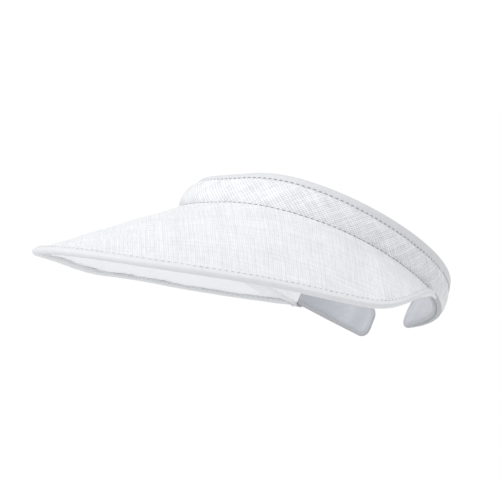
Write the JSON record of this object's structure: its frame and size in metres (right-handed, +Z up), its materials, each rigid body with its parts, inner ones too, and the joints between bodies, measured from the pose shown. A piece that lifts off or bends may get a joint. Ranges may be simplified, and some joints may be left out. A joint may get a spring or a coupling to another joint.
{
  "type": "sun visor",
  "caption": "Clip-on sun visor: wide curved woven-straw brim on an open, sprung, satin-lined band whose arms flex apart to grip the head.",
  "frame": {"origin": "middle of the head opening, half-way up the band, where the wearer's head sits", "axes": "+Z up as worn on a level head, -Y forward along the brim, +X to the wearer's left"},
  "size_m": [0.2008, 0.2586, 0.1041],
  "materials": {
    "straw_weave": "woven paper straw, plain weave, matt",
    "brim_board": "thin polyethylene interlining board, matt",
    "brim_lining": "smooth plain-weave polyester lining",
    "edge_wire": "nylon monofilament, matt",
    "edge_binding": "bias-cut cotton binding",
    "stitch_thread": "spun polyester sewing thread",
    "seam_tape": "herringbone cotton tape",
    "band_weave": "bias-cut woven paper straw, matt",
    "spring_strip": "moulded acetal spring strip, satin",
    "spring_tip": "soft rubber cap",
    "foam_pad": "polyurethane foam strip",
    "sweatband": "satin-weave sweatband lining"
  },
  "bodies": {
    "visor": {"brim_top_straw": "straw_weave", "brim_stiffener": "brim_board", "brim_lining": "brim_lining", "brim_edge_wire": "edge_wire", "brim_edge_binding": "edge_binding", "brim_edge_stitching": "stitch_thread", "brim_seam_tape": "seam_tape", "band_cover_front": "band_weave", "band_spring_front": "spring_strip", "band_foam_front": "foam_pad", "band_sweatband_front": "sweatband", "band_top_binding_front": "edge_binding", "band_top_stitching_front": "stitch_thread", "band_lower_tape_front": "seam_tape"},
    "arm_left": {"arm_cover_left": "band_weave", "arm_spring_left": "spring_strip", "arm_spring_tip_left": "spring_tip", "arm_foam_left": "foam_pad", "arm_sweatband_left": "sweatband", "arm_binding_left": "edge_binding", "arm_stitching_left": "stitch_thread"},
    "arm_right": {"arm_cover_right": "band_weave", "arm_spring_right": "spring_strip", "arm_spring_tip_right": "spring_tip", "arm_foam_right": "foam_pad", "arm_sweatband_right": "sweatband", "arm_binding_right": "edge_binding", "arm_stitching_right": "stitch_thread"}
  },
  "joints": [
    {"name": "arm_left_flex", "type": "hinge", "parent": "visor", "child": "arm_left", "pos_m": [0.04314, 0.05841, -0.03047], "axis": [0.001, -0.5142, -0.8577], "range_deg": [0, 25], "stiffness_Nm_per_rad": 0.05},
    {"name": "arm_right_flex", "type": "hinge", "parent": "visor", "child": "arm_right", "pos_m": [-0.04623, 0.0557, -0.03498], "axis": [0.001, 0.5142, 0.8577], "range_deg": [0, 25], "stiffness_Nm_per_rad": 0.05}
  ]
}
